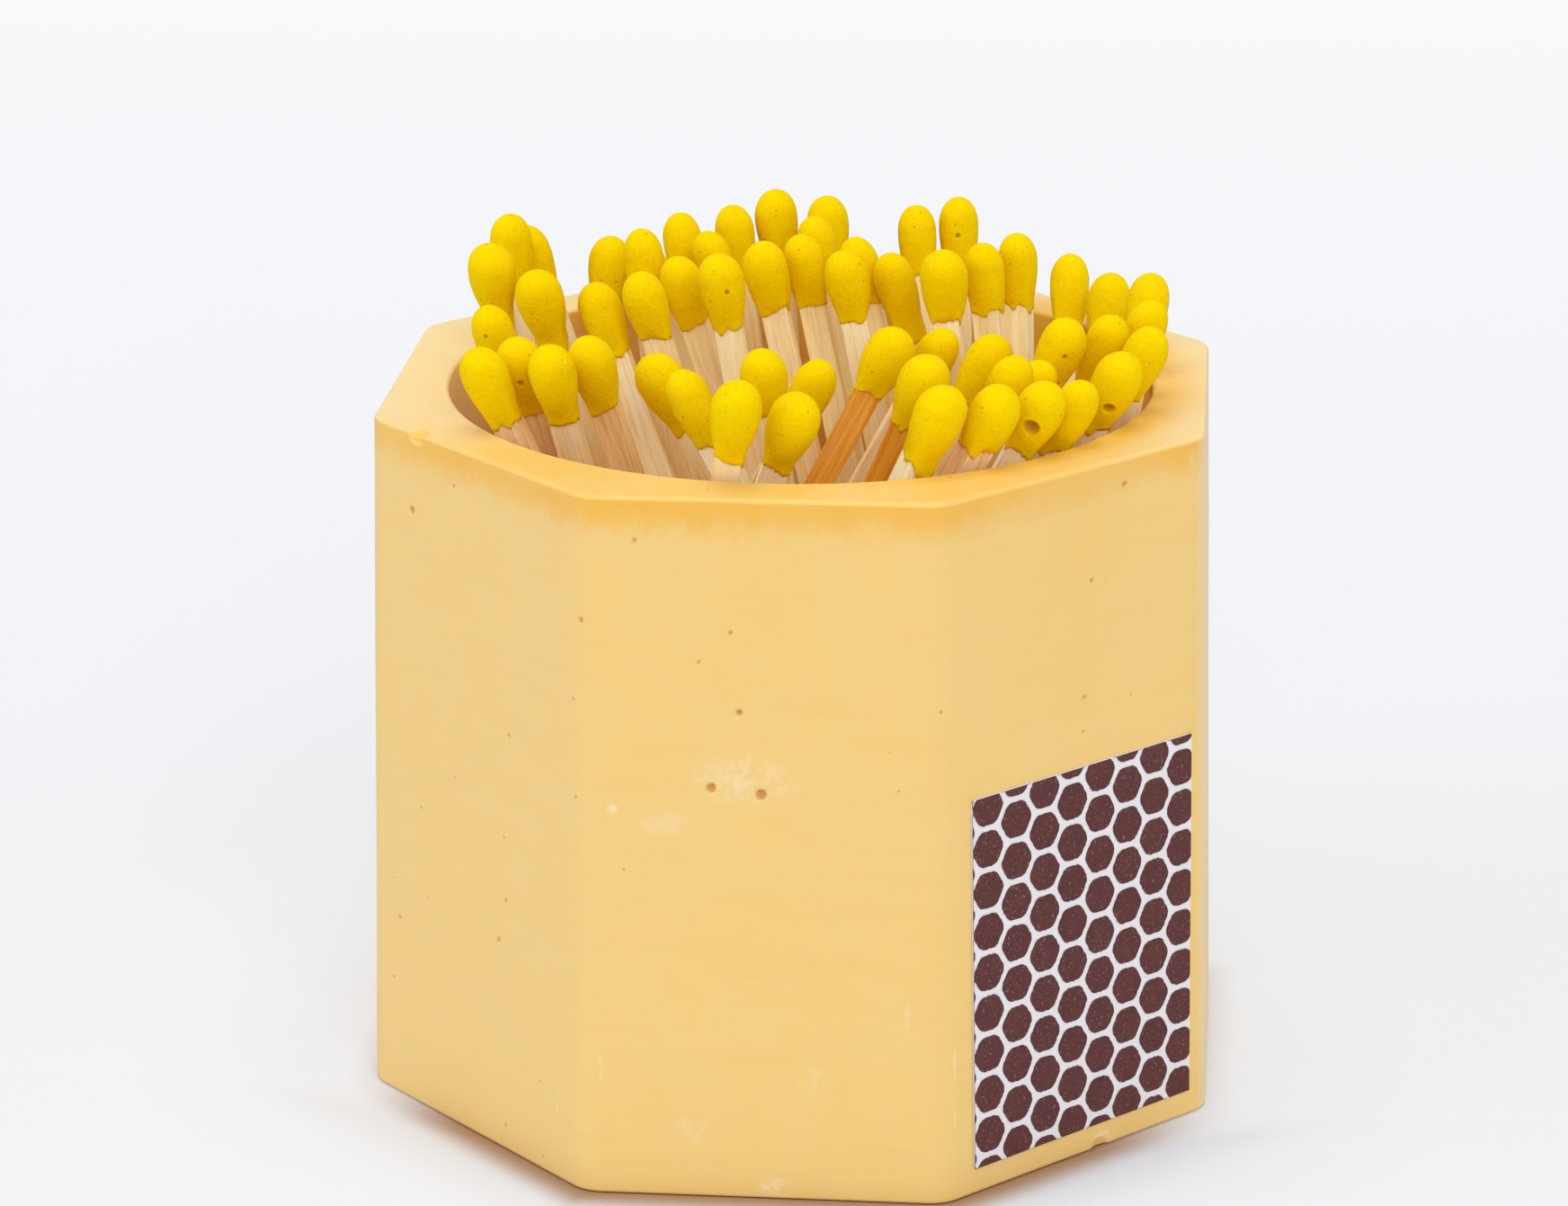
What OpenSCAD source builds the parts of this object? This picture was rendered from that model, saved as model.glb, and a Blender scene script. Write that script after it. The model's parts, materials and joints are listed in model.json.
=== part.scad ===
// Match holder: a cast eight-sided pot with a round well, full of wooden matches
// that fan out against its rim, and a striker sticker on its front-right face.
// Millimetres. +Z is up, the front face looks along -Y, and the origin is the
// middle of the foot.

/* [Holder] */
// Width across the flats at the rim
rim_flats = 60; // [57:0.5:70]
// Width across the flats at the foot
foot_flats = 62.5; // [59:0.5:74]
// Height of the holder
holder_h = 52; // [44:0.5:60]
// Radius of the upright edges at the foot
edge_r = 3; // [1:0.5:6]
// Diameter of the well
well_d = 52; // [50:0.5:54]
// Depth of the well below the rim
well_depth = 38.5; // [34:0.5:40]

/* [Striker] */
// Width of the paper sticker
sheet_w = 21.3; // [12:0.1:22]
// Height of the paper sticker
sheet_h = 28; // [12:0.5:36]
// Thickness of the paper
sheet_t = 0.12; // [0.08:0.02:0.3]
// Radius of the sticker's corners
sheet_corner_r = 0.5; // [0.2:0.1:2]
// Height of the sticker's lower edge above the foot
sheet_rise = 2; // [1:0.5:8]
// How far the sticker sits to the right of the middle of its face
sheet_shift = 0.5; // [-0.8:0.1:0.8]
// Thickness of the striking composition
coat_t = 0.05; // [0.03:0.01:0.2]
// Bare paper left round the printed cells
coat_margin = 0.12; // [0.05:0.01:1]
// Distance between the cells' centres
cell_pitch = 3.1; // [2.2:0.1:6]
// Bare paper between two cells
cell_gap = 0.33; // [0.1:0.01:0.8]
// Radius of the cells' corners
cell_corner_r = 0.75; // [0.2:0.05:0.9]
// From the sticker's left edge to the first column of cells
first_column_in = 1.47; // [0.5:0.01:3]
// From the sticker's top edge to the first cell of that column
first_cell_down = 0.82; // [0.2:0.01:3]

/* [Matches] */
// Length of a match with its head
match_len = 48; // [44:0.5:52]
// Length of match that the heads' places in the table are set out for
set_out_len = 48; // [44:0.5:52]
// Side of the square splint
splint_w = 2; // [1.6:0.05:2.1]
// Nominal width of a head at its widest
head_w = 3.6; // [3.4:0.05:3.7]
// Length of the coating from the tip to its lower edge
head_len = 6; // [5:0.1:8]
// From the tip of a head down to its widest place
crown_h = 2.1; // [1.6:0.1:2.6]
// Thickness of the coating over the splint's end
tip_cover = 1.2; // [0.6:0.1:1.6]
// Bond line between the coating and the splint
bond_gap = 0.02; // [0.01:0.01:0.05]
// Gap between a splint's foot and the well's floor
rest_gap = 0.1; // [0.05:0.05:0.3]

/* [Hidden] */
PLASTER = "#f2cc82";
PAPER = "#e6e4e2";
COMPOSITION = "#5d3432";
WOOD = "#f0d2a0";
HEAD_YELLOW = "#f2c900";

overrun = 1;
flats_count = 8;
half_side_angle = 180 / flats_count;
floor_z = holder_h - well_depth;
well_r = well_d / 2;
draft = atan((foot_flats - rim_flats) / 2 / holder_h);

// The lower edge of a head is a little wider than the splint's corners.
splint_corner = splint_w * sqrt(2) / 2;
tail_lip = 0.09;
tail_r = splint_corner + tail_lip;
splint_len = match_len - tip_cover;
reach = match_len - crown_h;
set_out_reach = set_out_len - crown_h;

// Where each match stands, in shares of the well's radius, chosen by eye from
// the front row to the back row: its foot's x and y on the floor, its head's x
// and y, then its head's width as a share of the nominal one, and the turn of
// its splint in degrees.
MATCH_SHARES = [
    [-0.17, -0.27, -0.82, -0.58, 1.00, 0],
    [-0.45, 0.20, -0.84, -0.28, 0.90, 0],
    [-0.37, 0.18, -0.74, -0.45, 1.00, 0],
    [-0.37, 0.04, -0.63, -0.59, 1.00, 0],
    [-0.17, 0.14, -0.54, -0.46, 1.00, 0],
    [0.54, -0.25, -0.37, -0.28, 1.05, 0],
    [0.55, -0.65, -0.25, -0.63, 0.90, 0],
    [-0.38, -0.48, -0.08, -1.00, 1.05, 0],
    [-0.51, -0.37, 0.06, -0.88, 1.08, 0],
    [0.11, -0.11, -0.04, -0.69, 1.00, 0],
    [-0.65, -0.18, 0.08, -0.50, 0.90, 0],
    [-0.55, -0.25, 0.26, -0.13, 1.08, 0],
    [-0.40, 0.30, 0.39, -0.04, 0.90, 0],
    [-0.29, -0.43, 0.39, -0.59, 1.08, 0],
    [-0.28, -0.81, 0.45, -0.84, 1.08, 26],
    [-0.29, -0.02, 0.54, -0.14, 1.00, 0],
    [-0.16, -0.71, 0.59, -0.78, 1.03, 30],
    [-0.09, -0.33, 0.62, -0.52, 0.92, 0],
    [-0.10, -0.04, 0.68, -0.37, 0.92, 0],
    [-0.05, -0.43, 0.71, -0.67, 1.03, 0],
    [0.00, -0.31, 0.80, -0.57, 0.92, 0],
    [0.19, -0.09, 0.91, -0.39, 1.03, 0],
    [0.15, 0.00, 0.75, -0.25, 1.00, 0],
    [0.24, 0.10, 0.87, -0.16, 0.92, 0],
    [0.37, 0.04, 0.98, -0.08, 0.88, 0],
    [0.31, -0.05, 0.98, -0.25, 0.95, 0],
    [0.70, -0.36, 0.98, 0.17, 0.92, 0],
    [0.62, -0.30, 0.86, 0.46, 0.95, 0],
    [0.75, -0.15, 0.74, 0.62, 0.88, 0],
    [0.65, 0.16, 0.60, 0.26, 0.88, -12],
    [0.45, 0.40, 0.40, 0.82, 0.90, 0],
    [0.40, 0.30, 0.28, 0.76, 0.88, 0],
    [0.55, 0.15, 0.40, 0.07, 1.05, 0],
    [0.70, 0.05, 0.51, 0.17, 0.88, -12],
    [0.75, 0.31, 0.25, 0.24, 0.90, 0],
    [0.55, 0.30, 0.14, 0.32, 0.88, 0],
    [0.45, 0.20, 0.12, 0.12, 0.97, 0],
    [0.15, 0.50, 0.02, 0.68, 0.95, 0],
    [0.30, 0.30, 0.00, 0.52, 0.88, 0],
    [0.35, 0.20, -0.02, 0.32, 0.90, 0],
    [0.25, 0.20, -0.12, 0.22, 1.00, 0],
    [0.00, 0.55, -0.14, 0.76, 0.97, 0],
    [0.06, 0.04, -0.23, 0.02, 1.03, 0],
    [-0.01, 0.32, -0.26, 0.70, 0.90, 0],
    [0.20, 0.40, -0.30, 0.44, 0.88, 0],
    [-0.11, 0.26, -0.40, 0.57, 0.88, 0],
    [0.16, 0.30, -0.36, 0.18, 0.95, 0],
    [-0.28, 0.12, -0.48, 0.26, 0.88, 0],
    [0.07, 0.24, -0.48, 0.38, 0.88, 0],
    [0.01, 0.15, -0.44, -0.04, 0.95, 0],
    [-0.67, -0.10, -0.62, 0.59, 0.95, 0],
    [0.04, -0.22, -0.58, 0.05, 0.95, 0],
    [-0.35, 0.40, -0.75, 0.02, 1.05, 0],
    [-0.29, 0.54, -0.85, 0.53, 0.95, 0],
    [-0.66, 0.30, -0.90, 0.10, 1.05, 0],
    [-0.70, 0.40, -0.88, 0.38, 0.95, 0],
];

function two_digits(i) = str(i < 10 ? "0" : "", i);
MATCH_NODES = [for (i = [1:len(MATCH_SHARES)]) str("match_", two_digits(i))];

// Points of an even-sided outline with rounded corners.
function rounded_sides(sides, flats, corner_r, first_angle, steps) =
    let (half = 180 / sides, centre_r = (flats / 2 - corner_r) / cos(half))
    [for (k = [0:sides - 1], s = [0:steps])
        let (at = first_angle + 2 * half * k, out = at + half * (2 * s / steps - 1))
        [centre_r * cos(at) + corner_r * cos(out), centre_r * sin(at) + corner_r * sin(out)]];

module holder() {
    edge_steps = 6;
    // The outline is drawn a little below the foot and cut level at both ends.
    start_z = -overrun;
    end_z = holder_h + overrun;
    slope = (foot_flats - rim_flats) / holder_h;
    start_flats = foot_flats - slope * start_z;
    end_flats = foot_flats - slope * end_z;
    color(PLASTER)
    difference() {
        intersection() {
            translate([0, 0, start_z])
                linear_extrude(height = end_z - start_z, scale = end_flats / start_flats)
                    polygon(rounded_sides(flats_count, start_flats, edge_r, half_side_angle, edge_steps));
            translate([-foot_flats, -foot_flats, 0])
                cube([2 * foot_flats, 2 * foot_flats, holder_h]);
        }
        translate([0, 0, floor_z])
            cylinder(d = well_d, h = well_depth + overrun, $fn = 128);
    }
}

// Places its children on the front-right face: x to the right and y up along the
// face from the middle of its lower edge, z straight out of it.
module on_striker_face() {
    rotate([0, 0, 2 * half_side_angle])
        translate([0, -foot_flats / 2, 0])
            rotate([90 - draft, 0, 0])
                children();
}

function rounded_sheet(w, h, r, steps) =
    [for (c = [[1, 0, 0], [1, 1, 90], [0, 1, 180], [0, 0, 270]], s = [0:steps])
        let (a = c[2] - 90 + 90 * s / steps, x = c[0] == 1 ? w - r : r, y = c[1] == 1 ? h - r : r)
        [x + r * cos(a), y + r * sin(a)]];

module striker_backing() {
    corner_steps = 4;
    color(PAPER)
    on_striker_face()
        translate([sheet_shift - sheet_w / 2, sheet_rise, 0])
            linear_extrude(sheet_t)
                polygon(rounded_sheet(sheet_w, sheet_h, sheet_corner_r, corner_steps));
}

module striker_coating() {
    corner_steps = 2;
    column_pitch = cell_pitch * cos(30);
    columns = ceil(sheet_w / column_pitch) + 1;
    rows = ceil(sheet_h / cell_pitch) + 1;
    cell = rounded_sides(6, cell_pitch - cell_gap, cell_corner_r, 0, corner_steps);
    color(COMPOSITION)
    on_striker_face()
        translate([sheet_shift - sheet_w / 2, sheet_rise, sheet_t])
            intersection() {
                translate([coat_margin, coat_margin, 0])
                    cube([sheet_w - 2 * coat_margin, sheet_h - 2 * coat_margin, coat_t]);
                union()
                    for (c = [-1:columns - 2], r = [0:rows])
                        let (drop = first_cell_down + (r - (c % 2 == 0 ? 0 : 0.5)) * cell_pitch)
                        translate([first_column_in + c * column_pitch, sheet_h - drop, 0])
                            linear_extrude(coat_t)
                                polygon(cell);
            }
}

// Half outline of a head, from its tip down: a drop with a round crown.
function head_outline(w) =
    let (r = w / 2, crown_steps = 6, taper_shares = [[0.22, 0.97], [0.45, 0.80], [0.70, 0.50]])
    concat(
        [[0, match_len - head_len], [tail_r, match_len - head_len]],
        [for (i = [len(taper_shares) - 1:-1:0])
            [tail_r + (r - tail_r) * taper_shares[i][1], reach - (head_len - crown_h) * taper_shares[i][0]]],
        [for (s = [0:crown_steps - 1])
            [r * cos(90 * s / crown_steps), reach + crown_h * sin(90 * s / crown_steps)]],
        [[0, match_len]]);

module splint() {
    color(WOOD)
    translate([-splint_w / 2, -splint_w / 2, 0])
        cube([splint_w, splint_w, splint_len]);
}

module head(w) {
    socket_w = splint_w + 2 * bond_gap;
    socket_top = splint_len + bond_gap;
    color(HEAD_YELLOW)
    difference() {
        rotate_extrude($fn = 32)
            polygon(head_outline(w));
        translate([-socket_w / 2, -socket_w / 2, match_len - head_len - overrun])
            cube([socket_w, socket_w, socket_top - match_len + head_len + overrun]);
    }
}

// One match: it stands on the floor of the well and leans towards its head's place.
// A longer or shorter match keeps the same line, so it still clears the rim.
module match(i) {
    place = MATCH_SHARES[i];
    foot = [place[0], place[1]] * well_r;
    run = [place[2], place[3]] * well_r - foot;
    lean = asin(norm(run) / set_out_reach);
    way = atan2(run[1], run[0]);
    translate([foot[0], foot[1], floor_z + rest_gap + splint_corner * sin(lean)])
        rotate([0, lean, way])
            rotate([0, 0, place[5] - way]) {
                splint();
                head(head_w * place[4]);
            }
}

holder();
striker_backing();
striker_coating();
for (i = [0:len(MATCH_SHARES) - 1])
    match(i);
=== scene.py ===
"""A cast plaster match holder full of yellow-headed matches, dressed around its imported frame."""

import json
import math
import random

import bmesh
import bpy
from mathutils import Matrix, Vector, noise


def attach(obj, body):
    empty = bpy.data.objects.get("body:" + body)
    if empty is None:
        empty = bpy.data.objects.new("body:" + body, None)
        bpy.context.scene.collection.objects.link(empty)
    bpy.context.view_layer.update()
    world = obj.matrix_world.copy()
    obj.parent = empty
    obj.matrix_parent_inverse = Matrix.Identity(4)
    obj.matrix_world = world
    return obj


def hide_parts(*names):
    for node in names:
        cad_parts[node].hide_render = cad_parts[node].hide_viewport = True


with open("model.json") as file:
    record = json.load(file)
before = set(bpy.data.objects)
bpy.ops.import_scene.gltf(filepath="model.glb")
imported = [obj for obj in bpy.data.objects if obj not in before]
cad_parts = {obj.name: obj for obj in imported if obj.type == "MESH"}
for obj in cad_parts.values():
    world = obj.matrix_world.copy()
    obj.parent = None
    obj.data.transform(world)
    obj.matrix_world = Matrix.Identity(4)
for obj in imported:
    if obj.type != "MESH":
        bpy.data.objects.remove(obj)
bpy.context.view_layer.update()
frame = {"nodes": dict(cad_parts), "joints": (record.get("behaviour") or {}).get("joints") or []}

MM = 0.001

# The pot, in millimetres, as in the part's source.
RIM_FLATS = 60.0
FOOT_FLATS = 62.5
POT_HEIGHT = 52.0
UPRIGHT_EDGE_RADIUS = 3.0
WELL_RADIUS = 26.0
WELL_FLOOR = 13.5
SIDES = 8

# The matches, in millimetres: half a splint's side, how far under the tip the splint ends inside the
# head, from the tip down to the head's widest place, from there to the lower end of the head's
# solid, and that solid's radius at its lower end.
MATCHES = 56
SPLINT_HALF = 1.0
SPLINT_END = 2.2
HEAD_CROWN = 2.1
HEAD_TAPER = 3.9
HEAD_TAIL = 1.495

# How deep an air hole in the plaster and a burst bubble in a head are, as shares of their width.
HOLE_DEPTH = 0.42
BUBBLE_DEPTH = 0.45

# Small holes left by air in the plaster: the face, counted from the front one round to the right,
# then millimetres to the right of the face's middle, up from the foot, and across the hole.
AIR_HOLES = [
    (0, -3.6, 31.0, 0.75), (0, -0.1, 30.6, 0.85), (0, -1.6, 36.6, 0.5), (0, -8.8, 48.9, 0.3),
    (0, -2.2, 42.4, 0.3), (0, -4.4, 40.2, 0.3), (7, 12.2, 42.9, 0.55), (7, -7.6, 46.1, 0.6),
    (7, 4.0, 32.2, 0.35), (7, 2.7, 16.2, 0.35), (7, -2.5, 49.1, 0.3), (1, 4.6, 50.0, 0.5),
    (1, 1.4, 43.6, 0.4), (1, 2.5, 43.3, 0.35), (1, 0.8, 35.1, 0.35), (7, 3.6, 19.5, 0.3),
    (7, -10.4, 9.1, 0.3), (7, -9.6, 14.1, 0.3), (7, -9.1, 13.6, 0.35), (7, -6.2, 16.7, 0.25),
]

# Chips out of the edges: the face, millimetres right of its middle, height, size across, and depth.
EDGE_CHIPS = [
    (7, -7.0, 52.0, 1.8, 0.36), (1, 2.2, 0.0, 1.7, 0.16), (3, 5.0, 52.0, 0.9, 0.2), (5, -3.0, 0.0, 1.2, 0.2),
    (6, 6.0, 52.0, 0.8, 0.2), (4, 8.0, 0.0, 1.0, 0.2),
]

# Pale rubbed marks: the face, right, up, half width and half height, and strength.
RUBBED_MARKS = [
    (0, -1.1, 31.8, 4.6, 2.6, 0.55), (0, -7.1, 28.3, 2.6, 1.2, 0.35), (0, -10.6, 29.2, 0.6, 0.55, 1.0),
    (0, 3.6, 9.2, 1.5, 1.6, 0.45), (0, -5.1, 5.5, 1.6, 1.2, 0.4), (1, -11.8, 10.8, 0.25, 1.7, 0.8),
    (1, -11.8, 6.2, 0.2, 1.3, 0.55), (0, -11.6, 9.5, 0.2, 1.8, 0.45), (0, 0.9, 0.9, 1.7, 1.0, 0.9),
    (1, 2.6, 0.7, 2.2, 0.8, 0.9), (0, -4.6, 4.3, 0.8, 0.6, 0.7), (1, 11.4, 50.6, 0.9, 0.8, 0.5),
    (0, 10.2, 14.5, 0.3, 1.4, 0.4), (7, 9.8, 6.0, 0.25, 1.6, 0.35),
]


def colour(hex_text):
    """An sRGB hex colour as linear red, green, blue and alpha."""
    shares = [int(hex_text[i:i + 2], 16) / 255 for i in (1, 3, 5)]
    return tuple(s / 12.92 if s <= 0.04045 else ((s + 0.055) / 1.055) ** 2.4 for s in shares) + (1.0,)


def add(tree, kind, inputs=(), **settings):
    """Adds one node with its settings, and sets each input to a value or links it to a socket.

    An input goes by its name, or by its number where the node's inputs share one name.
    """
    made = tree.nodes.new(kind)
    for name, value in settings.items():
        setattr(made, name, value)
    for key, value in dict(inputs).items():
        if isinstance(value, bpy.types.NodeSocket):
            tree.links.new(value, made.inputs[key])
        else:
            made.inputs[key].default_value = value
    return made


def start_material(name):
    """A new material, with its node tree and its surface shader."""
    material = bpy.data.materials.new(name)
    material.use_nodes = True
    return material, material.node_tree, material.node_tree.nodes["Principled BSDF"]


def face_frame(face):
    """The frame of one side of the pot: x to the right, y up the face and z out of it, in metres."""
    lean = math.atan((FOOT_FLATS - RIM_FLATS) / 2 / POT_HEIGHT)
    return (Matrix.Rotation(math.radians(face * 360 / SIDES), 4, "Z")
            @ Matrix.Translation((0, -FOOT_FLATS / 2 * MM, 0))
            @ Matrix.Rotation(math.radians(90) - lean, 4, "X"))


def on_face(face, right, up):
    """A point on one side of the pot, from millimetres across and up it."""
    return face_frame(face) @ Vector((right * MM, up * MM, 0))


def cast_plaster():
    """Tinted gypsum plaster, cast in a smooth mould and left unglazed.

    To the eye it is matt and chalky, with cloudy patches a few millimetres wide, faint level
    streaks where the pour settled, a richer golden band where the tint gathered under the rim,
    small air holes with painted shade inside, edges a little paler from wear and a painted
    highlight, and a few rubbed marks. The rim's top and the right side carry a painted sheen.
    """
    material, tree, surface = start_material("cast tinted plaster")
    at = add(tree, "ShaderNodeTexCoord").outputs["Object"]
    apart = add(tree, "ShaderNodeSeparateXYZ", {0: at})

    clouds = add(tree, "ShaderNodeTexNoise",
                 {"Vector": at, "Scale": 1 / (7 * MM), "Detail": 6.0, "Roughness": 0.6})
    body = add(tree, "ShaderNodeMix",
               {"Factor": clouds.outputs[0], "A": colour("#efc46e"), "B": colour("#edc97f")},
               data_type="RGBA")
    flattened = add(tree, "ShaderNodeVectorMath", {0: at, 1: (1.0, 1.0, 7.0)}, operation="MULTIPLY")
    streaks = add(tree, "ShaderNodeTexNoise",
                  {"Vector": flattened.outputs[0], "Scale": 1 / (9 * MM), "Detail": 4.0,
                   "Roughness": 0.65})
    streak_mask = add(tree, "ShaderNodeMapRange",
                      {"Value": streaks.outputs[0], "From Min": 0.52, "From Max": 0.75,
                       "To Min": 0.0, "To Max": 0.26})
    streaked = add(tree, "ShaderNodeMix",
                   {"Factor": streak_mask.outputs[0], "A": body.outputs["Result"],
                    "B": colour("#e9b95e")}, data_type="RGBA")

    # The golden band reaches 2 to 3 mm down from the rim, with a ragged lower edge.
    ragged = add(tree, "ShaderNodeTexNoise",
                 {"Vector": at, "Scale": 1 / (2.2 * MM), "Detail": 5.0, "Roughness": 0.7})
    grains = add(tree, "ShaderNodeTexNoise",
                 {"Vector": at, "Scale": 1 / (0.45 * MM), "Detail": 3.0, "Roughness": 0.7})
    wobble = add(tree, "ShaderNodeMath", {0: ragged.outputs[0], 1: 2.6 * MM}, operation="MULTIPLY")
    raised = add(tree, "ShaderNodeMath", {0: apart.outputs["Z"], 1: wobble.outputs[0]}, operation="ADD")
    dusty = add(tree, "ShaderNodeMath", {0: grains.outputs[0], 1: 1.8 * MM}, operation="MULTIPLY")
    settled = add(tree, "ShaderNodeMath", {0: raised.outputs[0], 1: dusty.outputs[0]}, operation="ADD")
    band = add(tree, "ShaderNodeMapRange",
               {"Value": settled.outputs[0], "From Min": 50.8 * MM, "From Max": 53.4 * MM,
                "To Min": 0.0, "To Max": 0.95}, interpolation_type="SMOOTHSTEP")
    facing = add(tree, "ShaderNodeSeparateXYZ", {0: add(tree, "ShaderNodeNewGeometry").outputs["Normal"]})
    upright = add(tree, "ShaderNodeMapRange",
                  {"Value": facing.outputs["Z"], "From Min": 0.75, "From Max": 0.35,
                   "To Min": 0.15, "To Max": 1.0})
    banded = add(tree, "ShaderNodeMath", {0: band.outputs[0], 1: upright.outputs[0]},
                 operation="MULTIPLY")
    thin = add(tree, "ShaderNodeTexNoise", {"Vector": at, "Scale": 1 / (13 * MM), "Detail": 2.0})
    thick = add(tree, "ShaderNodeMapRange",
                {"Value": thin.outputs[0], "From Min": 0.35, "From Max": 0.6,
                 "To Min": 0.55, "To Max": 1.0})
    banded = add(tree, "ShaderNodeMath", {0: banded.outputs[0], 1: thick.outputs[0]},
                 operation="MULTIPLY")
    golden = add(tree, "ShaderNodeMix",
                 {"Factor": banded.outputs[0], "A": streaked.outputs["Result"], "B": colour("#eeb23e")},
                 data_type="RGBA")

    # The side that faces right is painted paler: a painted sheen.
    painted_sheen = add(tree, "ShaderNodeMapRange",
                {"Value": facing.outputs["X"], "From Min": 0.78, "From Max": 0.98,
                 "To Min": 0.0, "To Max": 0.6})
    golden = add(tree, "ShaderNodeMix",
                 {"Factor": painted_sheen.outputs[0], "A": golden.outputs["Result"], "B": colour("#edd6b2")},
                 data_type="RGBA")

    # The rim's top is golden at the front and round the well, most to the right, and paler at the sides; that
    # paler top is a painted sheen.
    out = add(tree, "ShaderNodeVectorMath", {0: at, 1: (1.0, 1.0, 0.0)}, operation="MULTIPLY")
    reach = add(tree, "ShaderNodeVectorMath", {0: out.outputs[0]}, operation="LENGTH")
    near_well = add(tree, "ShaderNodeMapRange",
                    {"Value": reach.outputs["Value"], "From Min": 31.0 * MM, "From Max": 26.8 * MM,
                     "To Min": 0.0, "To Max": 0.9}, interpolation_type="SMOOTHSTEP")
    middle = add(tree, "ShaderNodeMapRange",
                 {"Value": apart.outputs["X"], "From Min": -20 * MM, "From Max": 10 * MM,
                  "To Min": 0.2, "To Max": 1.0})
    near_well = add(tree, "ShaderNodeMath", {0: near_well.outputs[0], 1: middle.outputs[0]},
                    operation="MULTIPLY")
    level = add(tree, "ShaderNodeMapRange",
                {"Value": facing.outputs["Z"], "From Min": 0.3, "From Max": 0.65,
                 "To Min": 0.0, "To Max": 1.0})
    forward = add(tree, "ShaderNodeMapRange",
                  {"Value": apart.outputs["Y"], "From Min": -8 * MM, "From Max": -23 * MM,
                   "To Min": 0.0, "To Max": 0.75}, interpolation_type="SMOOTHSTEP")
    patchy = add(tree, "ShaderNodeMapRange",
                 {"Value": ragged.outputs[0], "From Min": 0.3, "From Max": 0.7,
                  "To Min": 0.8, "To Max": 1.15})
    forward = add(tree, "ShaderNodeMath", {0: forward.outputs[0], 1: patchy.outputs[0]},
                  operation="MULTIPLY")
    forward = add(tree, "ShaderNodeMath", {0: forward.outputs[0], 1: level.outputs[0]},
                  operation="MULTIPLY", use_clamp=True)
    gilded = add(tree, "ShaderNodeMath", {0: near_well.outputs[0], 1: forward.outputs[0]},
                 operation="MAXIMUM")
    # Painted sheen: faces that look up are laid paler.
    sheen_top = add(tree, "ShaderNodeMath", {0: level.outputs[0], 1: 0.9}, operation="MULTIPLY")
    pale = add(tree, "ShaderNodeMix",
               {"Factor": sheen_top.outputs[0], "A": golden.outputs["Result"], "B": colour("#eace92")},
               data_type="RGBA")
    rimmed = add(tree, "ShaderNodeMix",
                 {"Factor": gilded.outputs[0], "A": pale.outputs["Result"], "B": colour("#eab53c")},
                 data_type="RGBA")

    # The outer edges are a little paler: partly wear, partly a painted highlight along the edge.
    upward = add(tree, "ShaderNodeMath", {0: facing.outputs["Z"]}, operation="ABSOLUTE")
    leaving = add(tree, "ShaderNodeMapRange",
                  {"Value": upward.outputs[0], "From Min": 0.12, "From Max": 0.45,
                   "To Min": 0.0, "To Max": 0.18})
    flat = add(tree, "ShaderNodeMapRange",
               {"Value": upward.outputs[0], "From Min": 0.7, "From Max": 0.97,
                "To Min": 1.0, "To Max": 0.0})
    spared = add(tree, "ShaderNodeMapRange",
                 {"Value": ragged.outputs[0], "From Min": 0.52, "From Max": 0.66,
                  "To Min": 0.0, "To Max": 1.0})
    outside = add(tree, "ShaderNodeMath", {0: reach.outputs["Value"], 1: 28.5 * MM},
                  operation="GREATER_THAN")
    edge = add(tree, "ShaderNodeMath", {0: leaving.outputs[0], 1: flat.outputs[0]}, operation="MULTIPLY")
    wear_and_highlight = add(tree, "ShaderNodeMath", {0: edge.outputs[0], 1: outside.outputs[0]}, operation="MULTIPLY")
    wear_and_highlight = add(tree, "ShaderNodeMath", {0: wear_and_highlight.outputs[0], 1: spared.outputs[0]}, operation="MULTIPLY")
    edged = add(tree, "ShaderNodeMix",
                {"Factor": wear_and_highlight.outputs[0], "A": rimmed.outputs["Result"], "B": colour("#f8dca4")},
                data_type="RGBA")

    # Rubbed marks are chalky and broken up.
    broken = add(tree, "ShaderNodeTexNoise",
                 {"Vector": at, "Scale": 1 / (1.3 * MM), "Detail": 5.0, "Roughness": 0.75})
    rubbed = 0.0
    for face, right, up, half_width, half_height, strength in RUBBED_MARKS:
        place = face_frame(face)
        centre = place @ Vector((right * MM, up * MM, 0))
        away = add(tree, "ShaderNodeVectorMath", {0: at, 1: centre}, operation="SUBTRACT")
        across = add(tree, "ShaderNodeVectorMath", {0: away.outputs[0], 1: place.col[0].xyz},
                     operation="DOT_PRODUCT")
        above = add(tree, "ShaderNodeVectorMath", {0: away.outputs[0], 1: place.col[1].xyz},
                    operation="DOT_PRODUCT")
        deep = add(tree, "ShaderNodeVectorMath", {0: away.outputs[0], 1: place.col[2].xyz},
                   operation="DOT_PRODUCT")
        shares = add(tree, "ShaderNodeCombineXYZ",
                     {"X": across.outputs["Value"], "Y": above.outputs["Value"],
                      "Z": deep.outputs["Value"]})
        scaled = add(tree, "ShaderNodeVectorMath",
                     {0: shares.outputs[0], 1: (half_width * MM, half_height * MM, 1.5 * MM)},
                     operation="DIVIDE")
        far = add(tree, "ShaderNodeVectorMath", {0: scaled.outputs[0]}, operation="LENGTH")
        mark = add(tree, "ShaderNodeMapRange",
                   {"Value": far.outputs["Value"], "From Min": 1.0, "From Max": 0.3,
                    "To Min": 0.0, "To Max": strength}, interpolation_type="SMOOTHSTEP")
        rubbed = add(tree, "ShaderNodeMath", {0: mark.outputs[0], 1: rubbed},
                     operation="MAXIMUM").outputs[0]
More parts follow.
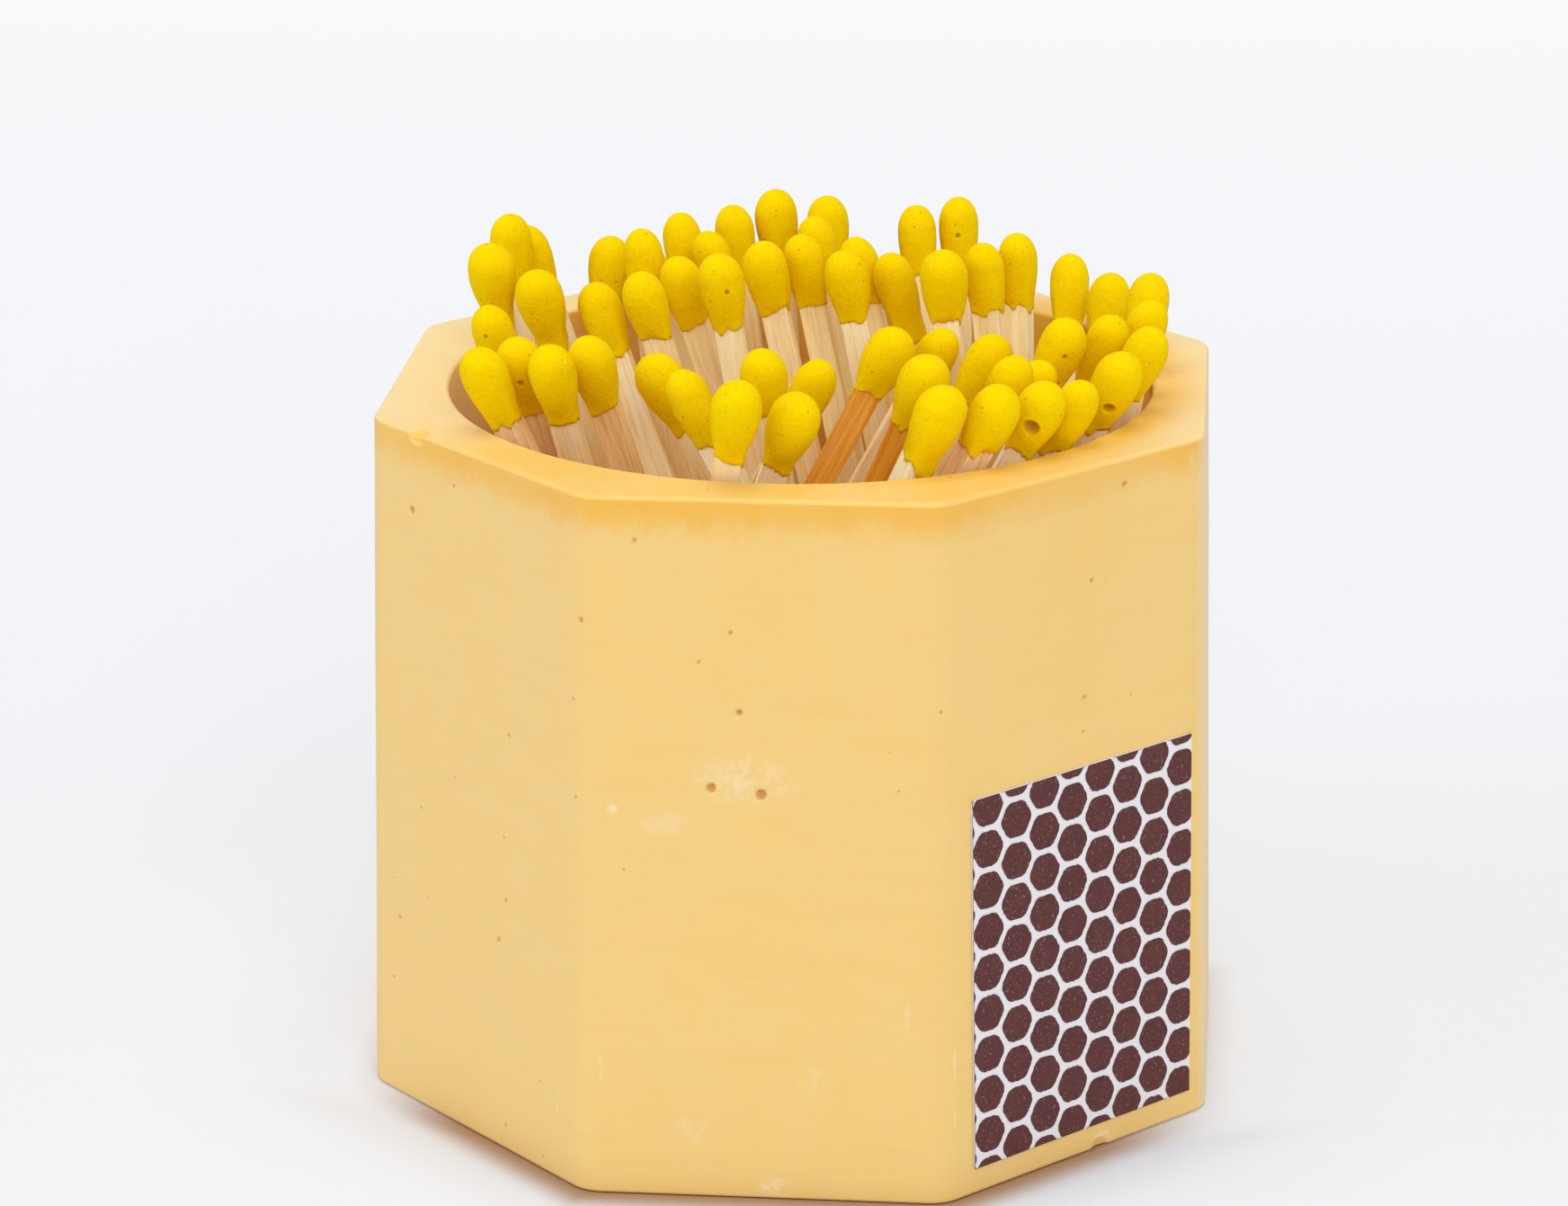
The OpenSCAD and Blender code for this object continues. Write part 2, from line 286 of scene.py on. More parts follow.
    gaps = add(tree, "ShaderNodeMapRange",
               {"Value": broken.outputs[0], "From Min": 0.42, "From Max": 0.62,
                "To Min": 0.0, "To Max": 1.0})
    chalk = add(tree, "ShaderNodeMath", {0: rubbed, 1: gaps.outputs[0]}, operation="MULTIPLY")
    chalked = add(tree, "ShaderNodeMix",
                  {"Factor": chalk.outputs[0], "A": edged.outputs["Result"], "B": colour("#f4deb4")},
                  data_type="RGBA")

    # Pinpricks of about 0.15 mm, drawn at 0.25 mm so that they show; their dark colour is painted shade.
    pricks = add(tree, "ShaderNodeTexVoronoi", {"Vector": at, "Scale": 1 / (3.2 * MM), "Randomness": 1.0})
    prick = add(tree, "ShaderNodeMapRange",
                {"Value": pricks.outputs["Distance"], "From Min": 0.035, "From Max": 0.05,
                 "To Min": 1.0, "To Max": 0.0})
    chosen = add(tree, "ShaderNodeSeparateColor", {0: pricks.outputs["Color"]})
    rare = add(tree, "ShaderNodeMath", {0: chosen.outputs["Red"], 1: 0.62}, operation="GREATER_THAN")
    pricked = add(tree, "ShaderNodeMath", {0: prick.outputs[0], 1: rare.outputs[0]}, operation="MULTIPLY")
    dark = add(tree, "ShaderNodeMath", {0: pricked.outputs[0], 1: 0.6}, operation="MULTIPLY")
    speckled = add(tree, "ShaderNodeMix",
                   {"Factor": dark.outputs[0], "A": chalked.outputs["Result"], "B": colour("#b9803a")},
                   data_type="RGBA")

    # Inside an air hole or a chip the plaster is painted darker, brown in the holes and golden in the chips:
    # painted shade in the hollows.
    inside = add(tree, "ShaderNodeAttribute", attribute_name="hole").outputs["Fac"]
    holed = add(tree, "ShaderNodeMix",
                {"Factor": inside, "A": speckled.outputs["Result"], "B": colour("#d0933f")},
                data_type="RGBA")
    chipped = add(tree, "ShaderNodeAttribute", attribute_name="chip").outputs["Fac"]
    broken_off = add(tree, "ShaderNodeMix",
                     {"Factor": chipped, "A": holed.outputs["Result"], "B": colour("#f0b94e")},
                     data_type="RGBA")
    tree.links.new(broken_off.outputs["Result"], surface.inputs["Base Color"])

    grit = add(tree, "ShaderNodeTexNoise",
               {"Vector": at, "Scale": 1 / (0.3 * MM), "Detail": 3.0, "Roughness": 0.6})
    sunk = add(tree, "ShaderNodeMath", {0: grit.outputs[0], 1: pricked.outputs[0]}, operation="SUBTRACT")
    bump = add(tree, "ShaderNodeBump",
               {"Height": sunk.outputs[0], "Strength": 0.25, "Distance": 0.05 * MM})
    tree.links.new(bump.outputs[0], surface.inputs["Normal"])
    surface.inputs["Roughness"].default_value = 0.5
    surface.inputs["IOR"].default_value = 1.5
    surface.inputs["Specular IOR Level"].default_value = 0.5
    return material


def label_paper():
    """White coated label stock, cut and stuck on: smooth and pale, with a faint fibre mottle."""
    material, tree, surface = start_material("white label paper")
    at = add(tree, "ShaderNodeTexCoord").outputs["Object"]
    fibres = add(tree, "ShaderNodeTexNoise",
                 {"Vector": at, "Scale": 1 / (0.4 * MM), "Detail": 4.0, "Roughness": 0.7})
    shade = add(tree, "ShaderNodeMix",
                {"Factor": fibres.outputs[0], "A": colour("#e0dcdb"), "B": colour("#ebe7e7")},
                data_type="RGBA")
    tree.links.new(shade.outputs["Result"], surface.inputs["Base Color"])
    bump = add(tree, "ShaderNodeBump",
               {"Height": fibres.outputs[0], "Strength": 0.15, "Distance": 0.02 * MM})
    tree.links.new(bump.outputs[0], surface.inputs["Normal"])
    surface.inputs["Roughness"].default_value = 0.55
    surface.inputs["IOR"].default_value = 1.5
    return material


def striking_composition():
    """Red phosphorus and ground glass in glue, screen printed: dull dark brown with pale grit."""
    material, tree, surface = start_material("printed striking composition")
    at = add(tree, "ShaderNodeTexCoord").outputs["Object"]
    patches = add(tree, "ShaderNodeTexNoise",
                  {"Vector": at, "Scale": 1 / (2.0 * MM), "Detail": 5.0, "Roughness": 0.7})
    base = add(tree, "ShaderNodeMix",
               {"Factor": patches.outputs[0], "A": colour("#4c2625"), "B": colour("#643732")},
               data_type="RGBA")
    # Glass grit of about 0.1 mm, drawn at 0.2 mm so that it shows.
    grit = add(tree, "ShaderNodeTexNoise",
               {"Vector": at, "Scale": 1 / (0.2 * MM), "Detail": 2.0, "Roughness": 0.8})
    specks = add(tree, "ShaderNodeMapRange",
                 {"Value": grit.outputs[0], "From Min": 0.6, "From Max": 0.74,
                  "To Min": 0.0, "To Max": 0.6})
    speckled = add(tree, "ShaderNodeMix",
                   {"Factor": specks.outputs[0], "A": base.outputs["Result"], "B": colour("#b79a90")},
                   data_type="RGBA")
    tree.links.new(speckled.outputs["Result"], surface.inputs["Base Color"])
    bump = add(tree, "ShaderNodeBump",
               {"Height": grit.outputs[0], "Strength": 0.5, "Distance": 0.04 * MM})
    tree.links.new(bump.outputs[0], surface.inputs["Normal"])
    surface.inputs["Roughness"].default_value = 0.8
    surface.inputs["IOR"].default_value = 1.5
    surface.inputs["Specular IOR Level"].default_value = 0.3
    return material


def sawn_aspen():
    """Aspen peeled and chopped into splints: pale cream, with golden fibres running along it.

    Each splint carries its own number between 0 and 1 in "wood_tone", so that no two share a
    grain, and its own share of browner heartwood in "wood_brown".
    """
    material, tree, surface = start_material("sawn aspen splint")
    at = add(tree, "ShaderNodeAttribute", attribute_name="from_foot").outputs["Vector"]
    tone = add(tree, "ShaderNodeAttribute", attribute_name="wood_tone").outputs["Fac"]
    brown = add(tree, "ShaderNodeAttribute", attribute_name="wood_brown").outputs["Fac"]
    apart = add(tree, "ShaderNodeMath", {0: tone, 1: 90.0}, operation="MULTIPLY")
    along = add(tree, "ShaderNodeVectorMath", {0: at, 1: (1.0, 1.0, 0.045)}, operation="MULTIPLY")
    grain = add(tree, "ShaderNodeTexNoise",
                {"Vector": along.outputs[0], "W": apart.outputs[0], "Scale": 1 / (0.5 * MM),
                 "Detail": 5.0, "Roughness": 0.65}, noise_dimensions="4D")
    streak = add(tree, "ShaderNodeMapRange",
                 {"Value": grain.outputs[0], "From Min": 0.36, "From Max": 0.66,
                  "To Min": 0.0, "To Max": 1.0})
    cream = add(tree, "ShaderNodeMix",
                {"Factor": streak.outputs[0], "A": colour("#fef9d8"), "B": colour("#fce8ab")},
                data_type="RGBA")
    fibres = add(tree, "ShaderNodeTexNoise",
                 {"Vector": along.outputs[0], "W": apart.outputs[0], "Scale": 1 / (0.16 * MM),
                  "Detail": 3.0, "Roughness": 0.6}, noise_dimensions="4D")
    fibre_mask = add(tree, "ShaderNodeMapRange",
                     {"Value": fibres.outputs[0], "From Min": 0.48, "From Max": 0.7,
                      "To Min": 0.0, "To Max": 0.5})
    fibred = add(tree, "ShaderNodeMix",
                 {"Factor": fibre_mask.outputs[0], "A": cream.outputs["Result"], "B": colour("#eabd5c")},
                 data_type="RGBA")
    heart = add(tree, "ShaderNodeMix",
                {"Factor": streak.outputs[0], "A": colour("#f3b03a"), "B": colour("#cc7608")},
                data_type="RGBA")
    heart_share = add(tree, "ShaderNodeMath", {0: fibre_mask.outputs[0], 1: 0.85}, operation="ADD")
    share = add(tree, "ShaderNodeMath", {0: heart_share.outputs[0], 1: brown}, operation="MULTIPLY",
                use_clamp=True)
    wood = add(tree, "ShaderNodeMix",
               {"Factor": share.outputs[0], "A": fibred.outputs["Result"], "B": heart.outputs["Result"]},
               data_type="RGBA")
    tree.links.new(wood.outputs["Result"], surface.inputs["Base Color"])
    bump = add(tree, "ShaderNodeBump",
               {"Height": fibres.outputs[0], "Strength": 0.6, "Distance": 0.06 * MM})
    tree.links.new(bump.outputs[0], surface.inputs["Normal"])
    surface.inputs["Roughness"].default_value = 0.7
    surface.inputs["IOR"].default_value = 1.5
    surface.inputs["Specular IOR Level"].default_value = 0.15
    return material


def match_head_paste():
    """Match-head paste, dipped and dried: matt yellow with a fine sandy skin, specks and pinholes."""
    material, tree, surface = start_material("dried match-head paste")
    at = add(tree, "ShaderNodeTexCoord").outputs["Object"]
    tone = add(tree, "ShaderNodeAttribute", attribute_name="wood_tone").outputs["Fac"]
    apart = add(tree, "ShaderNodeMath", {0: tone, 1: 70.0}, operation="MULTIPLY")
    clouds = add(tree, "ShaderNodeTexNoise",
                 {"Vector": at, "W": apart.outputs[0], "Scale": 1 / (1.6 * MM), "Detail": 4.0,
                  "Roughness": 0.6}, noise_dimensions="4D")
    yellow = add(tree, "ShaderNodeMix",
                 {"Factor": clouds.outputs[0], "A": colour("#f6d300"), "B": colour("#efc900")},
                 data_type="RGBA")
    # Specks of undissolved salt and soot, 0.1 mm across, drawn at 0.15 mm so that they show.
    aside = add(tree, "ShaderNodeMath", {0: tone, 1: 0.9}, operation="MULTIPLY")
    shift = add(tree, "ShaderNodeCombineXYZ", {"X": aside.outputs[0]})
    moved = add(tree, "ShaderNodeVectorMath", {0: at, 1: shift.outputs[0]})
    specks = add(tree, "ShaderNodeTexVoronoi", {"Vector": moved.outputs[0], "Scale": 1 / (0.8 * MM)})
    dot = add(tree, "ShaderNodeMapRange",
              {"Value": specks.outputs["Distance"], "From Min": 0.05, "From Max": 0.12,
               "To Min": 1.0, "To Max": 0.0})
    chosen = add(tree, "ShaderNodeSeparateColor", {0: specks.outputs["Color"]})
    rare = add(tree, "ShaderNodeMath", {0: chosen.outputs["Green"], 1: 0.72}, operation="GREATER_THAN")
    dark = add(tree, "ShaderNodeMath", {0: dot.outputs[0], 1: rare.outputs[0]}, operation="MULTIPLY")
    sand = add(tree, "ShaderNodeTexNoise",
               {"Vector": at, "W": apart.outputs[0], "Scale": 1 / (0.28 * MM), "Detail": 4.0,
                "Roughness": 0.75}, noise_dimensions="4D")
    low = add(tree, "ShaderNodeMapRange",
              {"Value": sand.outputs[0], "From Min": 0.5, "From Max": 0.3, "To Min": 0.0, "To Max": 0.45})
    yellow = add(tree, "ShaderNodeMix",
                 {"Factor": low.outputs[0], "A": yellow.outputs["Result"], "B": colour("#dba800")},
                 data_type="RGBA")
    dark_share = add(tree, "ShaderNodeMath", {0: dark.outputs[0], 1: 0.5}, operation="MULTIPLY")
    specked = add(tree, "ShaderNodeMix",
                  {"Factor": dark_share.outputs[0], "A": yellow.outputs["Result"],
                   "B": colour("#8f6a10")}, data_type="RGBA")
    pale = add(tree, "ShaderNodeMath", {0: chosen.outputs["Blue"], 1: 0.9}, operation="GREATER_THAN")
    light = add(tree, "ShaderNodeMath", {0: dot.outputs[0], 1: pale.outputs[0]}, operation="MULTIPLY")
    light_share = add(tree, "ShaderNodeMath", {0: light.outputs[0], 1: 0.6}, operation="MULTIPLY")
    dotted = add(tree, "ShaderNodeMix",
                 {"Factor": light_share.outputs[0], "A": specked.outputs["Result"],
                  "B": colour("#fbe98c")}, data_type="RGBA")
    # The inside of a burst bubble is painted darker: painted shade in the hollow.
    burst = add(tree, "ShaderNodeAttribute", attribute_name="burst").outputs["Fac"]
    pocked = add(tree, "ShaderNodeMix",
                 {"Factor": burst, "A": dotted.outputs["Result"], "B": colour("#b98a1a")},
                 data_type="RGBA")
    tree.links.new(pocked.outputs["Result"], surface.inputs["Base Color"])
    pitted = add(tree, "ShaderNodeMath", {0: sand.outputs[0], 1: dark.outputs[0]}, operation="SUBTRACT")
    bump = add(tree, "ShaderNodeBump",
               {"Height": pitted.outputs[0], "Strength": 0.7, "Distance": 0.14 * MM})
    tree.links.new(bump.outputs[0], surface.inputs["Normal"])
    surface.inputs["Roughness"].default_value = 0.85
    surface.inputs["IOR"].default_value = 1.5
    surface.inputs["Specular IOR Level"].default_value = 0.04
    return material


def rounded_outline(sides, flats, radius, first_corner, corner_steps, side_steps):
    """Points round an even-sided outline with rounded corners, as x and y in millimetres."""
    half = math.pi / sides
    centre = (flats / 2 - radius) / math.cos(half)
    corners = []
    for k in range(sides):
        at = first_corner + 2 * half * k
        arc = [at + half * (2 * s / corner_steps - 1) for s in range(corner_steps + 1)]
        corners.append([(centre * math.cos(at) + radius * math.cos(a),
                         centre * math.sin(at) + radius * math.sin(a)) for a in arc])
    points = []
    for k, arc in enumerate(corners):
        points.extend(arc)
        (x0, y0), (x1, y1) = arc[-1], corners[(k + 1) % sides][0]
        points.extend((x0 + (x1 - x0) * s / side_steps, y0 + (y1 - y0) * s / side_steps)
                      for s in range(1, side_steps))
    return points


def skin(mesh, rings, capped=(True, True)):
    """Joins rings of points with four-sided faces, and closes the first and the last ring."""
    rows = [[mesh.verts.new(p) for p in ring] for ring in rings]
    faces = []
    for below, above in zip(rows, rows[1:]):
        for i in range(len(below)):
            j = (i + 1) % len(below)
            faces.append(mesh.faces.new((below[i], below[j], above[j], above[i])))
    if capped[0]:
        faces.append(mesh.faces.new(rows[0][::-1]))
    if capped[1]:
        faces.append(mesh.faces.new(rows[-1]))
    return faces


def hollow_out(mesh, centre, across, depth, outward, cuts, layer):
    """Sinks a small round hollow into a surface, on a mesh made finer around it, and marks its inside."""
    half = across / 2
    finer = half * 1.6 + 0.4 * MM
    near = [e for e in mesh.edges if min((v.co - centre).length for v in e.verts) < finer]
    bmesh.ops.subdivide_edges(mesh, edges=near, cuts=cuts, use_grid_fill=True)
    for vert in mesh.verts:
        away = (vert.co - centre).length / half
        if away < 1.0:
            ragged = 1 + 0.12 * noise.noise(vert.co / (0.25 * MM))
            vert[layer] = max(vert[layer], 1 - away ** 4)
            vert.co -= outward * depth * ragged * math.sqrt(max(0.0, 1 - away * away))


def finish_piece(name, mesh, materials, body, nodes, place=Matrix.Identity(4)):
    """Turns a mesh into a piece that stands for its CAD nodes and rides on its body.

    The mesh is moved to its place, and each point keeps its own place in the piece as "from_foot".
    """
    own = mesh.verts.layers.float_vector.new("from_foot")
    for vert in mesh.verts:
        vert[own] = vert.co
    mesh.transform(place)
    mesh.normal_update()
    data = bpy.data.meshes.new(name)
    mesh.to_mesh(data)
    mesh.free()
    piece = bpy.data.objects.new(name, data)
    bpy.context.scene.collection.objects.link(piece)
    for material in materials:
        data.materials.append(material)
    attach(piece, body)
    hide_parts(*nodes)
    return piece


def cast_pot(plaster):
    """The pot: eight sides, softly rounded upright edges, an eased rim and a round well.

    The outer 1.6 mm of the underside is rubbed up by 0.15 mm, so a dark line shows under the foot.
    """
    foot_ease, foot_tuck, rim_ease, well_ease = 0.15, 1.6, 0.35, 0.35
    quarter_steps = 6
    quarter = [k / quarter_steps * math.pi / 2 for k in range(quarter_steps + 1)]

    def outer(height, inset):
        flats = FOOT_FLATS + (RIM_FLATS - FOOT_FLATS) * height / POT_HEIGHT - 2 * inset
        radius = UPRIGHT_EDGE_RADIUS * flats / FOOT_FLATS
        points = rounded_outline(SIDES, flats, radius, math.pi / SIDES, corner_steps=8, side_steps=34)
        return [Vector((x * MM, y * MM, height * MM)) for x, y in points]

    def round_ring(radius, height, like):
        return [Vector((p.x, p.y, 0)).normalized() * radius * MM + Vector((0, 0, height * MM)) for p in like]

    rings = []
    sole = outer(0, foot_tuck)
    for share in (0.02, 0.4, 0.8, 0.95):
        rings.append([Vector((p.x * share, p.y * share, 0)) for p in sole])
    rings += [outer(foot_ease * (1 - math.cos(a)), foot_tuck * (1 - math.sin(a))) for a in quarter]

    # Up the faces: a few rows of points close to either edge, and even rows between them.
    low, high = foot_ease, POT_HEIGHT - rim_ease
    near_edge = (0.15, 0.4, 0.8)
    even_from, even_rows = 1.3, 94
    heights = [low + n for n in near_edge]
    heights += [low + even_from + (high - low - 2 * even_from) * k / even_rows for k in range(even_rows + 1)]
    heights += [high - n for n in near_edge[::-1]]
    rings += [outer(h, 0) for h in heights]

    # Over the rim, down the well and across its floor.
    rings += [outer(high + rim_ease * math.sin(a), rim_ease * (1 - math.cos(a))) for a in quarter]
    rim_outer = rings[-1]
    rim_inner = round_ring(WELL_RADIUS + well_ease, POT_HEIGHT, rim_outer)
    for share in (0.04, 0.1, 0.2, 0.3, 0.4, 0.5, 0.6, 0.7, 0.8, 0.9, 0.96):
        rings.append([a.lerp(b, share) for a, b in zip(rim_outer, rim_inner)])
    rings += [round_ring(WELL_RADIUS + well_ease * (1 - math.sin(a)),
                         POT_HEIGHT - well_ease * (1 - math.cos(a)), rim_outer) for a in quarter]
    wall_top = POT_HEIGHT - well_ease
    wall_rows = 30
    rings += [round_ring(WELL_RADIUS, wall_top - (wall_top - WELL_FLOOR) * k / wall_rows, rim_outer)
              for k in range(1, wall_rows + 1)]
    rings += [round_ring(WELL_RADIUS * s, WELL_FLOOR, rim_outer) for s in (0.9, 0.7, 0.5, 0.3, 0.1, 0.01)]

    # A mould is never quite true: the faces and the rim sink by a few hundredths of a millimetre.
    for ring in rings:
        for p in ring:
            flat_reach = Vector((p.x, p.y, 0)).length
            if flat_reach > (WELL_RADIUS + well_ease) * MM and p.z > 0:
                sink = 0.03 + 0.03 * noise.noise(p / (11 * MM)) + 0.012 * noise.noise(p / (1.7 * MM))
                share = 1 - max(0.0, sink) * MM / flat_reach
                p.x *= share
                p.y *= share
                if p.z > high * MM:
                    p.z -= (0.02 + 0.02 * noise.noise(p / (5 * MM))) * MM

    mesh = bmesh.new()
    hole = mesh.verts.layers.float.new("hole")
    chip = mesh.verts.layers.float.new("chip")
    skin(mesh, rings)

    # The far sides have five air holes each, at places drawn by lot.
    rng = random.Random(52)
    holes = list(AIR_HOLES)
    for side in (2, 3, 4, 5, 6):
        holes += [(side, rng.uniform(-11, 11), rng.uniform(4, 49), rng.uniform(0.3, 0.75)) for _ in range(5)]
    for side, right, up, across in holes:
        place = face_frame(side)
        hollow_out(mesh, on_face(side, right, up), across * MM, across * HOLE_DEPTH * MM,
                   place.col[2].xyz, cuts=4, layer=hole)
    for side, right, up, across, depth in EDGE_CHIPS:
        place = face_frame(side)
        slant = Vector((0, 0, 1 if up > 1 else -1)) * 0.6
        hollow_out(mesh, on_face(side, right, up), across * MM, depth * MM,
                   (place.col[2].xyz + slant).normalized(), cuts=4, layer=chip)
    for face in mesh.faces:
        face.smooth = True
    return finish_piece("cast_pot", mesh, [plaster], "holder", ["holder"])


def printed_cells(composition):
    """The striker's honeycomb, as printed: every cell has its own slightly ragged edge."""
    # In millimetres: the paper's width and height, how far up and to the right it sits, its thickness
    # and the print's, and the bare margin round the cells. Then the cells' pitch, the gap between
    # them and their corners' radius, and how far in and down on the paper the first one is.
    sheet_w, sheet_h, rise, shift = 21.3, 28.0, 2.0, 0.5
    sheet_t, coat_t, margin = 0.12, 0.05, 0.04
    pitch, gap, corner = 3.1, 0.33, 0.75
    first_in, first_down = 1.47, 0.82
    smallest_cell, closest_points = 0.1, 0.004
    column = pitch * math.cos(math.radians(30))
    columns = math.ceil(sheet_w / column) + 1
    rows = math.ceil(sheet_h / pitch) + 1
    mesh = bmesh.new()
    for c in range(-1, columns - 1):
        for r in range(rows + 1):
            x0 = first_in + c * column
            y0 = sheet_h - (first_down + (r - (0 if c % 2 == 0 else 0.5)) * pitch)
            outline = []
            for x, y in rounded_outline(6, pitch - gap, corner, 0.0, corner_steps=4, side_steps=8):
                seed = Vector((x0 + x, y0 + y, 0))
                grow = 1 - 0.04 * (1 + noise.noise(seed / 0.27)) - 0.01 * (1 + noise.noise(seed / 1.3))
                px = min(max(x0 + x * grow, margin), sheet_w - margin)
                py = min(max(y0 + y * grow, margin), sheet_h - margin)
                if not outline or abs(px - outline[-1][0]) + abs(py - outline[-1][1]) > closest_points:
                    outline.append((px, py))
            wide = max(p[0] for p in outline) - min(p[0] for p in outline)
            high = max(p[1] for p in outline) - min(p[1] for p in outline)
            if len(outline) < 6 or min(wide, high) < smallest_cell:
                continue
            rings = [[Vector(((x + shift - sheet_w / 2) * MM, (y + rise) * MM, z * MM)) for x, y in outline]
                     for z in (sheet_t, sheet_t + coat_t)]
            skin(mesh, rings)
    return finish_piece("printed_cells", mesh, [composition], "holder", ["striker_coating"],
                        face_frame(1))


# Splints of browner wood, by match number, and how brown.
BROWN_SPLINTS = {3: 0.4, 4: 0.25, 5: 0.5, 6: 0.0, 12: 1.1, 14: 1.2, 17: 0.5, 41: 0.12, 1: 0.45, 11: 0.35,
                 43: 0.14, 37: 0.0, 33: 0.0, 30: 0.0, 35: 0.0}
# Heads whose paste ran further down the splint, by match number, and how many millimetres further.
LONG_DIPS = {35: 2.2, 30: 0.2, 52: 0.6, 53: 1.0, 55: 0.6, 6: 0.5, 7: 0.4, 8: 0.5, 9: 0.6, 14: 0.6, 15: 0.7,
             12: 0.5, 20: 0.4, 21: 0.5, 22: 0.5, 3: 0.5, 4: 0.5, 5: 0.3, 1: 0.5}
# Larger burst bubbles: the match, the way it faces in degrees, millimetres below the tip, and across.
BURST_BUBBLES = [
    (20, -95, 3.0, 1.25), (22, -80, 3.8, 0.9), (23, -75, 2.2, 0.4), (12, -120, 5.0, 0.5), (43, -70, 2.6, 0.4),
    (3, -90, 2.6, 0.5), (31, -90, 3.0, 0.4), (2, -100, 1.6, 0.35), (27, 60, 2.6, 0.6), (55, 150, 3.0, 0.5),
]


def measure_match(body):
    """Where a CAD match stands: its frame from foot to tip, its length and its head's radius."""
    level, apart = 0.05 * MM, 0.1 * MM
    up = next(Vector(j["axis"]).normalized() for j in frame["joints"] if j["child"] == body)
    points = [v.co for v in frame["nodes"][body].data.vertices]
    heights = [p.dot(up) for p in points]
    low = min(heights)
    corners = []
    for p, h in zip(points, heights):
        if h < low + level and all((p - c).length > apart for c in corners):
            corners.append(p)
    foot = sum(corners, Vector()) / len(corners)
    side = min(corners[1:], key=lambda c: (c - corners[0]).length) - corners[0]
    side = (side - up * side.dot(up)).normalized()
    across = up.cross(side)
    place = Matrix((side, across, up)).transposed().to_4x4()
    place.translation = foot
    radius = max(((p - foot) - up * (p - foot).dot(up)).length for p in points)
    return place, max(heights) - low, radius


def dip_radius(down, radius, dip):
    """The radius of a dipped head, at a distance down from its tip: round above, then a narrowing neck."""
    crown = HEAD_CROWN * MM
    neck = SPLINT_HALF * MM
    if down < crown:
        return radius * math.sqrt(max(0.0, 1 - ((crown - down) / crown) ** 2))
    share = min(1.0, (down - crown) / (dip - crown))
    return neck + (radius - neck) * (1 - share ** 1.7)


def dip_limit(down, radius):
    """How wide a head may be, at a distance down from its tip, to stay inside its solid."""
    tail = HEAD_TAIL * MM
    clearance = 0.01 * MM
    share = min(1.0, max(0.0, (down / MM - HEAD_CROWN) / HEAD_TAPER))
    return tail + (radius - tail) * (1 - share ** 2.15) - clearance


